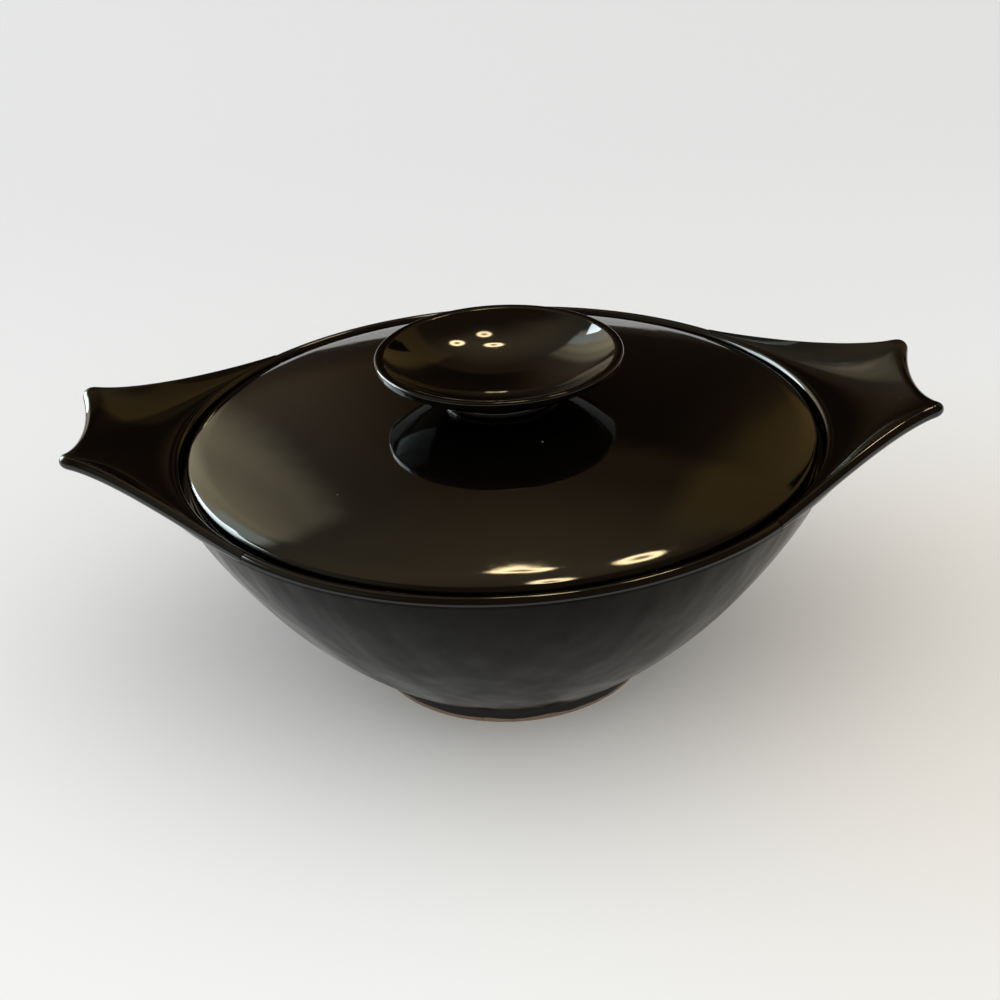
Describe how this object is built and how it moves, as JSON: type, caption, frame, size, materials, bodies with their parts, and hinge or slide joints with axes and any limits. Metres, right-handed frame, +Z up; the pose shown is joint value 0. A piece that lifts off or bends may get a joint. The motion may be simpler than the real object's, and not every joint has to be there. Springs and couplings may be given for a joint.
{
  "type": "covered casserole dish",
  "caption": "Low round glazed stoneware casserole with fishtail handles on the rim and a domed lift-off lid with a wide dished knob.",
  "frame": {"origin": "centre of the foot ring's standing face, on the table", "axes": "+Z up along the axis of the bowl and lid, X along the two handles, -Y towards the viewer of the picture"},
  "size_m": [0.2718, 0.2124, 0.1093],
  "materials": {
    "glaze": "glossy near-black glaze with a warm brown cast",
    "bare_clay": "unglazed fired stoneware, matt"
  },
  "bodies": {
    "dish": {"bowl": "glaze", "foot_ring": "bare_clay", "handle_left": "glaze", "handle_right": "glaze"},
    "lid": {"lid_dome": "glaze", "lid_flange": "glaze", "knob_neck": "glaze", "knob_dish": "glaze"}
  },
  "joints": [
    {"name": "lid_lift", "type": "slide", "parent": "dish", "child": "lid", "axis": [0, 0, 1], "range_m": [0, 0.12]}
  ]
}
